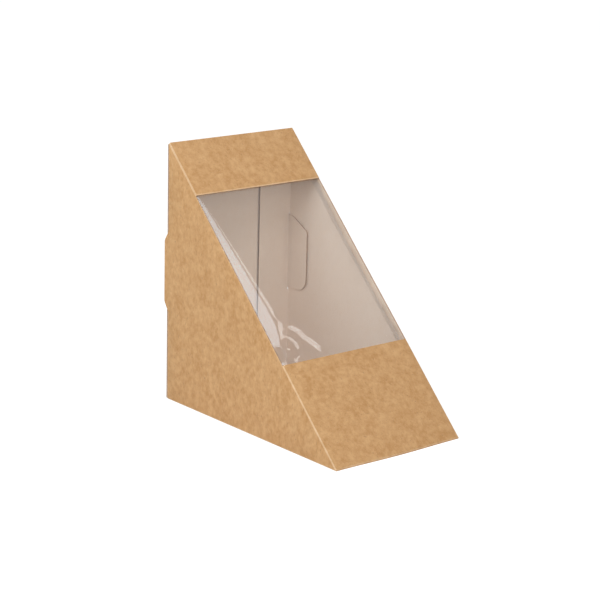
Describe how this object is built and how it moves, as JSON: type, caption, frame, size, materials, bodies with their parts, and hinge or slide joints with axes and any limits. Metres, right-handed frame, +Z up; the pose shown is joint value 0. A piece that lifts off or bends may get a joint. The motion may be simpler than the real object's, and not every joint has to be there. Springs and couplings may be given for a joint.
{
  "type": "sandwich wedge pack",
  "caption": "Wedge-shaped folded board sandwich pack with a slanted clear window and a rear panel that locks by ears at its sides.",
  "frame": {"origin": "on the table under the pack, in the middle of the base: half way across the width and half way between the sharp front edge and the back fold", "axes": "+X to the right seen from the front, across the pack's width; +Y from the thin front edge to the upright back; +Z up"},
  "size_m": [0.073, 0.1248, 0.123],
  "materials": {
    "kraft_board": "matte uncoated kraft",
    "closure_board": "matte uncoated kraft",
    "clear_film": "clear gloss film"
  },
  "bodies": {
    "pack": {"carton": "kraft_board", "window_film": "clear_film"},
    "closure": {"back_closure": "closure_board"}
  },
  "joints": [
    {"name": "closure_hinge", "type": "hinge", "parent": "pack", "child": "closure", "pos_m": [0, 0.06202, 0.00022], "axis": [-1, 0, 0], "range_deg": [0, 90]}
  ]
}
